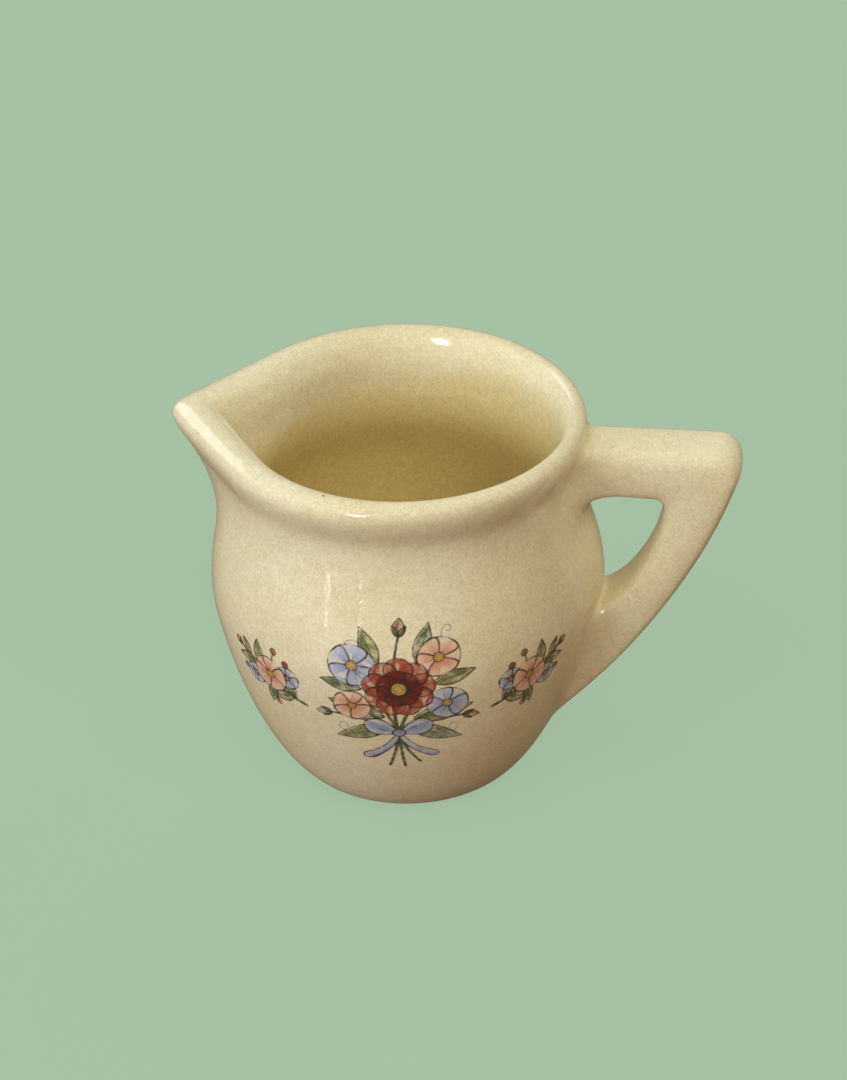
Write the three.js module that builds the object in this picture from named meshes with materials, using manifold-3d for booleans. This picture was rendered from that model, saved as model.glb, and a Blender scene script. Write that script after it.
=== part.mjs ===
// A small slip-cast milk jug: a round vessel with a pinched pouring lip, an angular handle luted on with
// slip, and printed transfers on the belly. Millimetres, +Z up, origin at the centre of the foot, spout
// towards -X.
import * as THREE from 'three';
import { mergeVertices } from 'three/addons/utils/BufferGeometryUtils.js';
import Module from 'manifold-3d';

const wasm = await Module();
wasm.setup();

// Driving dimensions: the vessel, from the foot up
const FOOT_RADIUS = 20;
const FOOT_FLARE_ANGLE = 42; // degrees above the table at which the wall leaves the foot
const FOOT_FLARE_LENGTH = 9; // how far the wall keeps close to that slope
const BELLY_RADIUS = 32.2;
const BELLY_HEIGHT = 34; // table to the widest point
const BELLY_ROUNDNESS_BELOW = 6; // how far the wall stays upright under the widest point
const BELLY_ROUNDNESS_ABOVE = 9;
const SHOULDER_RISE = 22; // widest point up to the neck
const NECK_RADIUS = 28.5;
const NECK_ROUNDNESS = 7;
const NECK_WALL = 4; // neck in to the throat, the narrowest place inside
const NECK_RISE = 9; // neck up to the top of the lip
const LIP_RADIUS = 30.4; // outside of the rolled lip, away from the spout
const LIP_SETBACK = 2.7; // outside of the lip in to its highest line
const LIP_DROP = 2; // top of the lip down to where it stands out most
const THROAT_DROP = 11; // top of the lip down to the throat
const WALL = 3.6;
const FLOOR = 5;
const FLOOR_ROUNDNESS = 9; // corner between floor and wall, inside

// Driving dimensions: the pouring spout, pinched out of the lip
const SPOUT_PULL = 6.9; // how far its tip stands out from the round of the lip
const SPOUT_DEPTH = 19; // widest part of the lip down to where the pinch starts
const SPOUT_TIP_RADIUS = 4;
const SPOUT_CREASE_RADIUS = 0.8; // the same corner inside
const SPOUT_THICKENING = 3.4; // clay that the tip has more than the lip elsewhere
const SPOUT_THICKENING_REACH = 4.8; // depth into the lip over which it builds up
const SPOUT_DIP = 0.5; // the tip hangs this much below the lip
const SPOUT_DIP_FOCUS = 6; // higher keeps the dip nearer the tip
const MOUTH_LEAN = 0.45; // how far the mouth sits towards the spout

// Driving dimensions: the angular handle
const ARM_DROP = 3.4; // top of the lip down to the root of the arm's top
const ARM_RISE = 0.6; // the arm's outer end stands this much higher than its root
const ARM_HEIGHT = 7.9;
const HANDLE_STANDOFF = 23.5; // widest part of the vessel out to the handle's end
const HANDLE_WIDTH = 10.4;
const HANDLE_EDGE_RADIUS = 1.7;
const CORNER_RADIUS = 3.4;
const FINGER_GAP = 10.7; // widest part of the vessel out to the inner corner
const INNER_CORNER_RADIUS = 2.2;
const STRUT_CROTCH_DROP = 3.8; // widest point of the belly down to the strut's inner end
const STRUT_FOOT_DROP = 24; // widest point of the belly down to the strut's outer end
const STRUT_BOW = 3.7; // how far the strut's outer edge swells
const STRUT_INNER_BOW = 2.5;

// Driving dimensions: slip joints and transfers
const CLEARANCE = 0.3; // between neighbouring pieces
const LUTING_THICKNESS = 1;
const LUTING_FLARE = 1; // how far the slip spreads round the handle
const FILM_THICKNESS = 0.3;
const PRINT_DROP = 4; // widest point of the belly down to the middle of the print
const PRINT_BEARING = 7; // degrees from the jug's side towards the handle
const POSY_WIDTH = 28;
const POSY_HEIGHT = 35;
const SPRIG_LENGTH = 18;
const SPRIG_WIDTH = 15;
const SPRIG_TILT = 24; // degrees that the sprigs rise outwards
const SPRIG_SPACING = 0.4; // between posy and sprig, round the belly

// How finely round things are divided
const ROUND_STEPS = 72;
const CURVE_STEPS = 6;
const FINE_STEPS = 24;
const SPOUT_CROWDING = 0.55; // share of the even spacing that moves towards the spout
const EDGE_STEPS = 3;
const HANDLE_STEPS = 10;
const FILM_STEPS = 12;
const WELD = 1e-4; // points closer than this are one
const FILLET_LIMIT = 0.9; // most of a corner or wall that an edge radius may take

// Heights and reaches that follow from them
const neckHeight = BELLY_HEIGHT + SHOULDER_RISE;
const jugHeight = neckHeight + NECK_RISE;
const lipHeight = jugHeight - LIP_DROP;
const crestRadius = LIP_RADIUS - LIP_SETBACK;
const throatRadius = NECK_RADIUS - NECK_WALL;
const throatHeight = jugHeight - THROAT_DROP;
const widest = Math.max(BELLY_RADIUS, LIP_RADIUS);
const armTop = jugHeight - ARM_DROP;
const armBottom = armTop - ARM_HEIGHT;
const slipGap = LUTING_THICKNESS + 2 * CLEARANCE;
const handleEdge = Math.min(
  HANDLE_EDGE_RADIUS,
  CORNER_RADIUS * FILLET_LIMIT,
  (ARM_HEIGHT / 2) * FILLET_LIMIT,
  (HANDLE_WIDTH / 2) * FILLET_LIMIT,
);

const glaze = { color: 0xdccfa4, roughness: 0.16, metalness: 0 };
const slip = { color: 0xcdbd92, roughness: 0.22, metalness: 0 };
const redPrint = { color: 0x9a4a38, roughness: 0.2, metalness: 0 };
const greenPrint = { color: 0x66784c, roughness: 0.2, metalness: 0 };

// The outside of the vessel from the foot to the lip, grown outwards by a margin.
function addOutside(path, margin) {
  const slope = THREE.MathUtils.degToRad(FOOT_FLARE_ANGLE);
  path.lineTo(FOOT_RADIUS + margin, 0);
  path.bezierCurveTo(
    FOOT_RADIUS + margin + FOOT_FLARE_LENGTH * Math.cos(slope),
    FOOT_FLARE_LENGTH * Math.sin(slope),
    BELLY_RADIUS + margin,
    BELLY_HEIGHT - BELLY_ROUNDNESS_BELOW,
    BELLY_RADIUS + margin,
    BELLY_HEIGHT,
  );
  path.bezierCurveTo(
    BELLY_RADIUS + margin,
    BELLY_HEIGHT + BELLY_ROUNDNESS_ABOVE,
    NECK_RADIUS + margin,
    neckHeight - NECK_ROUNDNESS,
    NECK_RADIUS + margin,
    neckHeight,
  );
  path.bezierCurveTo(
    NECK_RADIUS + margin,
    (neckHeight + lipHeight) / 2,
    LIP_RADIUS + margin,
    (neckHeight + lipHeight) / 2,
    LIP_RADIUS + margin,
    lipHeight,
  );
}

// The lip's rounded outside up to its highest line, grown outwards by a margin.
function addLip(path, margin) {
  path.absellipse(crestRadius, lipHeight, LIP_SETBACK + margin, LIP_DROP + margin, 0, Math.PI / 2, false);
}

// The hollow, from the highest line of the lip down to the middle of the floor.
function addInside(path) {
  const belly = BELLY_RADIUS - WALL;
  const corner = FOOT_RADIUS - WALL;
  const slope = crestRadius - throatRadius;
  path.absellipse(crestRadius, throatHeight, slope, THROAT_DROP, Math.PI / 2, Math.PI, false);
  path.bezierCurveTo(
    throatRadius,
    throatHeight - NECK_ROUNDNESS,
    belly,
    BELLY_HEIGHT + BELLY_ROUNDNESS_ABOVE,
    belly,
    BELLY_HEIGHT,
  );
  path.bezierCurveTo(
    belly,
    BELLY_HEIGHT - BELLY_ROUNDNESS_BELOW,
    corner + FLOOR_ROUNDNESS,
    FLOOR,
    corner,
    FLOOR,
  );
  path.lineTo(0, FLOOR);
}

function vesselProfile() {
  const path = new THREE.Path().moveTo(0, 0);
  addOutside(path, 0);
  addLip(path, 0);
  addInside(path);
  return path.getPoints(CURVE_STEPS);
}

function solidProfile(margin) {
  const path = new THREE.Path().moveTo(0, 0);
  addOutside(path, margin);
  addLip(path, margin);
  path.lineTo(0, jugHeight + margin);
  return path.getPoints(CURVE_STEPS);
}

// Outside radius of the vessel at a height, before the spout is pinched.
const outsideLine = (() => {
  const path = new THREE.Path().moveTo(0, 0);
  addOutside(path, 0);
  return path.getPoints(FINE_STEPS).slice(1);
})();

function outsideRadius(height) {
  const above = outsideLine.findIndex((point) => point.y >= height);
  if (above < 0) return LIP_RADIUS;
  if (above === 0) return FOOT_RADIUS;
  const low = outsideLine[above - 1];
  const high = outsideLine[above];
  return THREE.MathUtils.mapLinear(height, low.y, high.y, low.x, high.x);
}

// Radius of a ring drawn out to a rounded point: two flanks that touch the ring and the tip's small circle.
function teardropRadius(bearing, ring, pull, tip) {
  const tipCentre = ring + pull - tip;
  if (tipCentre <= ring - tip) return ring;
  const flank = Math.acos((ring - tip) / tipCentre);
  const tipEnd = Math.atan2(tip * Math.sin(flank), tipCentre + tip * Math.cos(flank));
  if (bearing >= flank) return ring;
  if (bearing >= tipEnd) return ring / Math.cos(flank - bearing);
  return tipCentre * Math.cos(bearing) + Math.sqrt(tip ** 2 - (tipCentre * Math.sin(bearing)) ** 2);
}

// Pinches the spout out of a turned shape, towards -X: share is 0 where the pinch starts and 1 at the lip.
function pinchSpout(geometry) {
  const at = geometry.attributes.position;
  for (let i = 0; i < at.count; i++) {
    const [x, y, z] = [at.getX(i), at.getY(i), at.getZ(i)];
    const ring = Math.hypot(x, y);
    if (ring < WELD) continue;
    const even = Math.atan2(y, -x);
    const bearing = even - SPOUT_CROWDING * Math.sin(even);
    const share = THREE.MathUtils.smoothstep(z, lipHeight - SPOUT_DEPTH, lipHeight);
    const inside = outsideRadius(Math.min(z, lipHeight)) - ring;
    const depth = THREE.MathUtils.clamp(inside, 0, SPOUT_THICKENING_REACH);
    const setBack = (SPOUT_THICKENING * depth) / SPOUT_THICKENING_REACH;
    const tip = Math.max(SPOUT_CREASE_RADIUS, SPOUT_TIP_RADIUS - depth);
    const radius = teardropRadius(Math.abs(bearing), ring, (SPOUT_PULL - setBack) * share, tip);
    const dip = SPOUT_DIP * share * Math.max(0, Math.cos(bearing)) ** SPOUT_DIP_FOCUS;
    const along = -radius * Math.cos(bearing) - MOUTH_LEAN * share;
    at.setXYZ(i, along, radius * Math.sin(bearing), z - dip);
  }
  return geometry;
}

function turn(profile) {
  const geometry = new THREE.LatheGeometry(profile, ROUND_STEPS);
  return pinchSpout(geometry.rotateX(Math.PI / 2));
}

// A closed geometry as a solid for cutting and joining
function toSolid(geometry) {
  const bare = new THREE.BufferGeometry().setAttribute('position', geometry.attributes.position);
  bare.setIndex(geometry.index);
  const merged = mergeVertices(bare, WELD);
  const corners = [];
  for (let i = 0; i < merged.index.count; i += 3) {
    const [a, b, c] = [0, 1, 2].map((k) => merged.index.getX(i + k));
    if (a !== b && b !== c && c !== a) corners.push(a, b, c);
  }
  const mesh = new wasm.Mesh({
    numProp: 3,
    vertProperties: new Float32Array(merged.attributes.position.array),
    triVerts: new Uint32Array(corners),
  });
  return new wasm.Manifold(mesh);
}

function toGeometry(solid) {
  const mesh = solid.getMesh();
  const geometry = new THREE.BufferGeometry();
  geometry.setAttribute('position', new THREE.BufferAttribute(new Float32Array(mesh.vertProperties), 3));
  geometry.setIndex(new THREE.BufferAttribute(new Uint32Array(mesh.triVerts), 1));
  geometry.computeVertexNormals();
  return geometry;
}

const grownVessel = (margin) => toSolid(turn(solidProfile(margin)));

function piece(name, solid, look) {
  const mesh = new THREE.Mesh(toGeometry(solid), new THREE.MeshStandardMaterial(look));
  mesh.name = name;
  return mesh;
}

// Control point that bows the line between two points: a quadratic curve reaches half way to it.
function bowed(from, to, bow) {
  const along = new THREE.Vector2().subVectors(to, from).normalize();
  const outwards = new THREE.Vector2(-along.y, along.x);
  return new THREE.Vector2().lerpVectors(from, to, 0.5).addScaledVector(outwards, 2 * bow);
}

// The arc that rounds a corner, between its two sides
function cornerArc(before, corner, after, radius) {
  const back = new THREE.Vector2().subVectors(before, corner).normalize();
  const on = new THREE.Vector2().subVectors(after, corner).normalize();
  const half = Math.acos(back.dot(on)) / 2;
  const middle = back.clone().add(on).normalize();
  return {
    start: corner.clone().addScaledVector(back, radius / Math.tan(half)),
    end: corner.clone().addScaledVector(on, radius / Math.tan(half)),
    centre: corner.clone().addScaledVector(middle, radius / Math.sin(half)),
    radius,
    clockwise: back.cross(on) > 0,
  };
}

function addArc(shape, arc) {
  const from = new THREE.Vector2().subVectors(arc.start, arc.centre).angle();
  const to = new THREE.Vector2().subVectors(arc.end, arc.centre).angle();
  shape.absarc(arc.centre.x, arc.centre.y, arc.radius, from, to, arc.clockwise);
}

// The handle seen from the side, in x and z. Both ends run on into the vessel, which trims them.
function handleOutline() {
  const crotchHeight = BELLY_HEIGHT - STRUT_CROTCH_DROP;
  const footHeight = BELLY_HEIGHT - STRUT_FOOT_DROP;
  const armStart = new THREE.Vector2(0, armTop);
  const corner = new THREE.Vector2(widest + HANDLE_STANDOFF, armTop + ARM_RISE);
  const foot = new THREE.Vector2(outsideRadius(footHeight), footHeight);
  const crotch = new THREE.Vector2(outsideRadius(crotchHeight), crotchHeight);
  const innerCorner = new THREE.Vector2(widest + FINGER_GAP, armBottom);
  const armEnd = new THREE.Vector2(0, armBottom);
  const outerBow = bowed(corner, foot, STRUT_BOW);
  const innerBow = bowed(innerCorner, crotch, STRUT_INNER_BOW);
  const outerArc = cornerArc(armStart, corner, outerBow, CORNER_RADIUS);
  const innerArc = cornerArc(innerBow, innerCorner, armEnd, INNER_CORNER_RADIUS);

  const shape = new THREE.Shape();
  shape.moveTo(armStart.x, armStart.y);
  shape.lineTo(outerArc.start.x, outerArc.start.y);
  addArc(shape, outerArc);
  shape.quadraticCurveTo(outerBow.x, outerBow.y, foot.x, foot.y);
  shape.lineTo(0, footHeight);
  shape.lineTo(0, crotchHeight);
  shape.lineTo(crotch.x, crotch.y);
  shape.quadraticCurveTo(innerBow.x, innerBow.y, innerArc.start.x, innerArc.start.y);
  addArc(shape, innerArc);
  shape.lineTo(armEnd.x, armEnd.y);
  return shape;
}

// The handle's outline as a bar with rounded edges, spread by a margin all round
function handleBar(margin) {
  const geometry = new THREE.ExtrudeGeometry(handleOutline(), {
    depth: HANDLE_WIDTH + 2 * margin - 2 * handleEdge,
    curveSegments: HANDLE_STEPS,
    bevelThickness: handleEdge,
    bevelSize: handleEdge,
    bevelOffset: margin - handleEdge,
    bevelSegments: EDGE_STEPS,
  });
  geometry.translate(0, 0, handleEdge - margin - HANDLE_WIDTH / 2);
  return toSolid(geometry.rotateX(Math.PI / 2));
}

function makeBody() {
  return piece('body', toSolid(turn(vesselProfile())), glaze);
}

function makeHandle() {
  return piece('handle', handleBar(0).subtract(grownVessel(slipGap)), glaze);
}

// The two beads of slip that hold the handle's ends: the layer between vessel and handle, upper one first.
function makeLutings() {
  const layer = grownVessel(CLEARANCE + LUTING_THICKNESS).subtract(grownVessel(CLEARANCE));
  const beads = handleBar(LUTING_FLARE).intersect(layer).decompose();
  beads.sort((a, b) => b.boundingBox().max[2] - a.boundingBox().max[2]);
  const names = ['upper_luting', 'lower_luting'];
  return names.map((name, i) => piece(name, beads[i], slip));
}

function ellipseOutline(width, height) {
  const shape = new THREE.Shape();
  shape.absellipse(0, 0, width / 2, height / 2, 0, Math.PI * 2, false);
  return shape;
}

// A leaf with two pointed ends, along x
function leafOutline(length, width) {
  const shape = new THREE.Shape();
  shape.moveTo(-length / 2, 0);
  shape.quadraticCurveTo(0, -width, length / 2, 0);
  shape.quadraticCurveTo(0, width, -length / 2, 0);
  return shape;
}

// A film of the given outline wrapped on the belly, at a bearing in degrees from the middle of the print
function film(name, outline, bearing, tilt, look) {
  const geometry = new THREE.ExtrudeGeometry(outline, {
    depth: widest + SPOUT_PULL,
    curveSegments: FILM_STEPS,
    bevelEnabled: false,
  });
  geometry.rotateZ(THREE.MathUtils.degToRad(tilt));
  geometry.rotateX(Math.PI / 2);
  geometry.translate(0, 0, BELLY_HEIGHT - PRINT_DROP);
  geometry.rotateZ(THREE.MathUtils.degToRad(PRINT_BEARING + bearing));
  const layer = grownVessel(CLEARANCE + FILM_THICKNESS).subtract(grownVessel(CLEARANCE));
  return piece(name, toSolid(geometry).intersect(layer), look);
}

function makeTransfers() {
  const offset = POSY_WIDTH / 2 + SPRIG_SPACING + SPRIG_LENGTH / 2;
  const bearing = THREE.MathUtils.radToDeg(offset / BELLY_RADIUS);
  const sprig = leafOutline(SPRIG_LENGTH, SPRIG_WIDTH);
  return [
    film('posy_transfer', ellipseOutline(POSY_WIDTH, POSY_HEIGHT), 0, 0, redPrint),
    film('spout_side_sprig_transfer', sprig, -bearing, -SPRIG_TILT, greenPrint),
    film('handle_side_sprig_transfer', sprig, bearing, SPRIG_TILT, greenPrint),
  ];
}

const jug = new THREE.Group();
jug.name = 'milk_jug';
jug.add(makeBody(), makeHandle(), ...makeLutings(), ...makeTransfers());

export default jug;
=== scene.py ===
import math

import bmesh
import bpy
import numpy as np
from mathutils import Matrix, Vector, noise
from mathutils.bvhtree import BVHTree
from mathutils.interpolate import poly_3d_calc


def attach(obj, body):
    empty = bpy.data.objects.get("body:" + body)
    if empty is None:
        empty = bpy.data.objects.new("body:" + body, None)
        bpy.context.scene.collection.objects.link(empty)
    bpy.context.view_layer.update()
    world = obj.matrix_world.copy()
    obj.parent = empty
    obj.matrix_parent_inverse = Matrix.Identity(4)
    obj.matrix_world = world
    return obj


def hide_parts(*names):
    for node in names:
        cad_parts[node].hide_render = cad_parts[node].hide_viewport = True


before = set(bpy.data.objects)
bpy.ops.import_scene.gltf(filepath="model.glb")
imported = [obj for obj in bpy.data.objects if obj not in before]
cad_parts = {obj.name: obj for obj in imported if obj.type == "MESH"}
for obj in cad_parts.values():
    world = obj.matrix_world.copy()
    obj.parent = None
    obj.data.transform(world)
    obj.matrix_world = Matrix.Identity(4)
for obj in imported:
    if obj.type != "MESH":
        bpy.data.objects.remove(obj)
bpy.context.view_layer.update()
mm = 0.001
print("frame loaded:", ", ".join(sorted(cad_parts)))


# The cast vessel, in millimetres, from the foot up
vessel = {
    "footRadius": 20.0,
    "flareAngle": 42.0,  # degrees above the table at which the wall leaves the foot
    "flareLength": 9.0,
    "bellyRadius": 32.2,
    "bellyHeight": 34.0,
    "bellyBelow": 6.0,  # how far the wall stays upright under and over the widest point
    "bellyAbove": 9.0,
    "neckRadius": 28.5,
    "neckHeight": 56.0,
    "neckRound": 7.0,
    "lipRadius": 30.4,
    "lipHeight": 63.0,  # where the lip stands out most
    "crestRadius": 27.6,  # the lip's highest line
    "edgeRadius": 24.3,  # the lip's inner edge, where the hollow drops away
    "edgeHeight": 58.0,
    "height": 65.0,
    "throatRadius": 24.2,  # narrowest place inside
    "throatHeight": 53.0,
    "wall": 3.6,
    "floor": 5.0,
    "floorRound": 9.0,
    "wallSteps": 60,
    "columns": 81,  # odd, so that one column meets the spout and one gap the handle
    "crowding": (0.3, 0.1),  # moves columns towards the spout
    "lowRows": (0.35, 1.3, 2.9, 5.2),  # heights of the grid's rows under the handle
    "strutRows": (8.0, 32.4),  # and between which the strut and the arm join the wall
    "armRows": (50.8, 62.3),
    "easeReach": 1.3,  # bearing either side of the handle within which the grid gives way to it
    "easeRounds": 400,
    "baseRows": (0.35, 0.65, 0.86, 0.965),  # rings under the foot, in shares of its radius
    "footEdge": (0.996, 0.07),
    "floorRows": (0.68, 0.34),
    "insideSteps": (5, 5, 3, 5, 8),  # down the lip, edge, throat, belly and floor
    "unevenness": 0.10,  # hand-finished clay is never quite round
    "unevenSize": 17.0,
    "unevenSeed": 5,
    "flatBelow": 0.5,
    "smoothing": 2,
}

spout = {
    "pull": 6.9,
    "depth": 22.0,  # from the lip down to where the pinch starts
    "tipRadius": 4.0,
    "creaseRadius": 0.8,
    "tipWall": 6.4,  # clay between the tip and the crease
    "wallReach": 4.8,  # depth into the lip at which the crease has its full set-back
    "lean": (-0.45, 1.1),  # the lip sits towards the spout, and its hollow towards the handle
    "dip": 0.5,
    "dipFocus": 6,
}


def ease(value, low, high):
    share = np.clip((value - low) / (high - low), 0, 1)
    return share**2 * (3 - 2 * share)


def curve(a, b, c, d, steps):
    t = np.linspace(0, 1, steps + 1)[:, None]
    a, b, c, d = (np.array(p, float) for p in (a, b, c, d))
    return a * (1 - t) ** 3 + 3 * b * t * (1 - t) ** 2 + 3 * c * t**2 * (1 - t) + d * t**3


def outsideLine(steps):
    v = vessel
    slope = math.radians(v["flareAngle"])
    middle = (v["neckHeight"] + v["lipHeight"]) / 2
    flare = (
        v["footRadius"] + v["flareLength"] * math.cos(slope),
        v["flareLength"] * math.sin(slope),
    )
    belly = (v["bellyRadius"], v["bellyHeight"])
    neck = (v["neckRadius"], v["neckHeight"])
    lip = (v["lipRadius"], v["lipHeight"])
    underBelly = (belly[0], belly[1] - v["bellyBelow"])
    overBelly = (belly[0], belly[1] + v["bellyAbove"])
    underNeck = (neck[0], neck[1] - v["neckRound"])
    return np.vstack([
        curve((v["footRadius"], 0), flare, underBelly, belly, steps),
        curve(belly, overBelly, underNeck, neck, steps)[1:],
        curve(neck, (neck[0], middle), (lip[0], middle), lip, steps)[1:],
    ])


# Quarter of an ellipse between two points, level at one end and upright at the other
def quarter(level, upright, steps):
    turn = np.linspace(0, math.pi / 2, steps + 1)
    across = level[0] + (upright[0] - level[0]) * np.sin(turn)
    return np.stack([across, upright[1] + (level[1] - upright[1]) * np.cos(turn)], -1)


# The lip over its crest, then the hollow down to the edge of the flat floor
def insideLine(lipSteps, edgeSteps, throatSteps, bellySteps, floorSteps):
    v = vessel
    crest = (v["crestRadius"], v["height"])
    edge = (v["edgeRadius"], v["edgeHeight"])
    throat = (v["throatRadius"], v["throatHeight"])
    third = (edge[1] - throat[1]) / 3
    belly = (v["bellyRadius"] - v["wall"], v["bellyHeight"])
    corner = (v["footRadius"] - v["wall"], v["floor"])
    underThroat = (throat[0], throat[1] - v["neckRound"])
    overBelly = (belly[0], belly[1] + v["bellyAbove"])
    underBelly = (belly[0], belly[1] - v["bellyBelow"])
    return np.vstack([
        quarter(crest, (v["lipRadius"], v["lipHeight"]), lipSteps)[-2::-1],
        quarter(crest, edge, edgeSteps)[1:],
        curve(edge, (edge[0], edge[1] - third), (throat[0], throat[1] + third), throat, throatSteps)[1:],
        curve(throat, underThroat, overBelly, belly, bellySteps)[1:],
        curve(belly, underBelly, (corner[0] + v["floorRound"], corner[1]), corner, floorSteps)[1:],
    ])


wallLine = outsideLine(vessel["wallSteps"])


def wallRadius(height):
    return np.interp(height, wallLine[:, 1], wallLine[:, 0])


# Radius of a ring drawn out to a rounded point, at a bearing from the point
def teardrop(bearing, ring, pull, tip):
    tipCentre = ring + pull - tip
    pinched = tipCentre > ring - tip + 1e-9
    tipCentre = np.where(pinched, tipCentre, ring - tip + 1e-6)
    flank = np.arccos(np.clip((ring - tip) / tipCentre, -1, 1))
    tipEnd = np.arctan2(tip * np.sin(flank), tipCentre + tip * np.cos(flank))
    onFlank = ring / np.cos(np.clip(flank - bearing, 0, 1.5))
    inTip = np.sqrt(np.maximum(tip**2 - (tipCentre * np.sin(bearing)) ** 2, 0))
    onTip = tipCentre * np.cos(bearing) + inTip
    radius = np.where(bearing >= tipEnd, onFlank, onTip)
    return np.where(pinched & (bearing < flank), radius, ring)


# Points of the vessel from their bearing from the spout, ring radius and height
def onVessel(bearing, ring, height):
    bearing, ring, height = np.broadcast_arrays(bearing, ring, height)
    turned = np.abs((bearing + math.pi) % (2 * math.pi) - math.pi)
    share = ease((height - vessel["lipHeight"]) / spout["depth"] + 1, 0, 1)
    depth = wallRadius(np.minimum(height, vessel["lipHeight"])) - ring
    depth = np.clip(depth, 0, spout["wallReach"])
    setBack = (spout["tipWall"] - spout["wallReach"]) * depth / spout["wallReach"]
    tip = np.maximum(spout["creaseRadius"], spout["tipRadius"] - depth)
    radius = teardrop(turned, np.maximum(ring, 1e-6), (spout["pull"] - setBack) * share, tip)
    dip = spout["dip"] * share * np.maximum(0, np.cos(turned)) ** spout["dipFocus"]
    lean = np.interp(depth, (0, spout["wallReach"]), spout["lean"])
    along = lean * share - radius * np.cos(bearing)
    return np.stack([along, radius * np.sin(bearing), height - dip], -1)


# The angular handle, seen from the side in x and z
handle = {
    "armTop": 61.6,
    "armRise": 0.6,
    "armHeight": 7.9,
    "reach": 55.7,  # jug's axis out to the corner, before it is rounded
    "width": 10.4,
    "edge": 1.7,
    "crown": 0.25,  # swell of each face
    "corner": 3.4,
    "gapReach": 42.9,  # jug's axis out to the inner corner
    "innerCorner": 2.2,
    "crotchHeight": 30.2,
    "footHeight": 10.0,
    "bow": 3.7,
    "innerBow": 2.5,
    "armStart": 0.4,  # share of the way from the jug's axis at which the arm is drawn from
    "samples": (60, 50, 90),  # along arm, corner and strut
    "stations": 30,
    "settle": 6,  # how soon the bar's rings straighten up from a joint's slant
    "overrun": 1.2,  # the strut is drawn on into the belly, then trimmed
    "armFillets": (6.8, 2.8, 0.8),  # slip under, beside and over the arm
    "strutFillets": (4.6, 3.0, 0.9),  # slip over, beside and under the strut
    "slipSteps": 3,
    "ridge": 1.2,  # slip left standing on the wall between the joints
    "ridgeWidth": 7.0,
    "ridgeRows": (22.0, 57.0),
    "ridgeEnds": 0.7,
    "ridgeSides": 4,
}


def roundCorner(before, corner, after, radius):
    back = (before - corner) / np.linalg.norm(before - corner)
    on = (after - corner) / np.linalg.norm(after - corner)
    half = math.acos(float(back @ on)) / 2
    middle = (back + on) / np.linalg.norm(back + on)
    start = corner + back * radius / math.tan(half)
    end = corner + on * radius / math.tan(half)
    return start, corner + middle * radius / math.sin(half), end


def arcPoints(start, centre, end, count):
    first = math.atan2(*(start - centre)[::-1])
    turn = math.atan2(*(end - centre)[::-1]) - first
    turn = (turn + math.pi) % (2 * math.pi) - math.pi
    angles = first + turn * np.linspace(0, 1, count)
    return centre + np.linalg.norm(start - centre) * np.stack([np.cos(angles), np.sin(angles)], -1)


# Curve from start to end that is drawn towards a point beside it
def drawnTo(start, middle, end, t):
    return start * (1 - t) ** 2 + 2 * middle * t * (1 - t) + end * t**2


def bowed(start, end, bow):
    along = (end - start) / np.linalg.norm(end - start)
    return (start + end) / 2 + 2 * bow * np.array([-along[1], along[0]])


# One edge of the handle from inside the neck, round the corner and down into the belly
def handleEdgeLine(armHeight, corner, foot, bow, radius):
    h = handle
    bend = bowed(corner, foot, bow)
    armStart = np.array([0.0, armHeight])
    start, centre, end = roundCorner(armStart, corner, bend, radius)
    onArm = np.linspace(h["armStart"], 1, h["samples"][0], endpoint=False)[:, None]
    arm = armStart + (start - armStart) * onArm
    t = np.linspace(0, h["overrun"], h["samples"][2] + 1)[1:, None]
    return np.vstack([arm, arcPoints(start, centre, end, h["samples"][1]), drawnTo(end, bend, foot, t)])


# Cross-section of the bar as twenty points: a rounded box with slightly swollen faces
def barSection(halfDepth):
    h = handle
    halfWidth = h["width"] / 2
    edge = h["edge"]
    cut = edge * (1 - math.sqrt(0.5))
    thirds = np.array([1, 1 / 3, -1 / 3, -1])
    swell = h["crown"] * np.array([0, 1, 1, 0])
    flat = halfDepth - edge
    level = (halfWidth - edge) * thirds
    across = np.concatenate([
        [halfWidth - cut], level,
        [cut - halfWidth], -halfWidth - swell,
        [cut - halfWidth], -level,
        [halfWidth - cut], halfWidth + swell,
    ])
    depth = np.concatenate([
        [cut - halfDepth], -halfDepth - swell,
        [cut - halfDepth], -flat * thirds,
        [halfDepth - cut], halfDepth + swell,
        [halfDepth - cut], flat * thirds,
    ])
    return across, depth


# Twenty lines that run along the bar, one for each point of its section
def barLines():
    h = handle
    foot = np.array([float(wallRadius(h["footHeight"])), h["footHeight"]])
    crotch = np.array([float(wallRadius(h["crotchHeight"])), h["crotchHeight"]])
    corner = np.array([h["reach"], h["armTop"] + h["armRise"]])
    armBottom = h["armTop"] - h["armHeight"]
    inner = np.array([h["gapReach"], armBottom])
    outerEdge = handleEdgeLine(h["armTop"], corner, foot, h["bow"], h["corner"])
    innerEdge = handleEdgeLine(armBottom, inner, crotch, h["innerBow"], h["innerCorner"])
    lines = []
    for outer, inside in zip(outerEdge, innerEdge):
        halfDepth = np.linalg.norm(outer - inside) / 2
        across, depth = barSection(halfDepth)
        way = (outer - inside) / (2 * halfDepth)
        middle = (outer + inside) / 2
        lines.append(np.stack([middle[0] + depth * way[0], across, middle[1] + depth * way[1]], -1))
    return np.array(lines)


# Where each line first stands the given distance clear of the wall, as a sample number
def clearOfWall(clearance, distance):
    found = []
    for k in range(clearance.shape[1]):
        i = int(np.argmax(clearance[:, k] > distance[k]))
        low, high = clearance[i - 1, k], clearance[i, k]
        found.append(i - 1 + (distance[k] - low) / (high - low))
    return np.array(found)


def atSample(lines, sample):
    at = np.arange(len(lines))
    return np.array([
        [np.interp(sample[k], at, lines[:, k, axis]) for axis in range(3)]
        for k in range(lines.shape[1])
    ])


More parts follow.
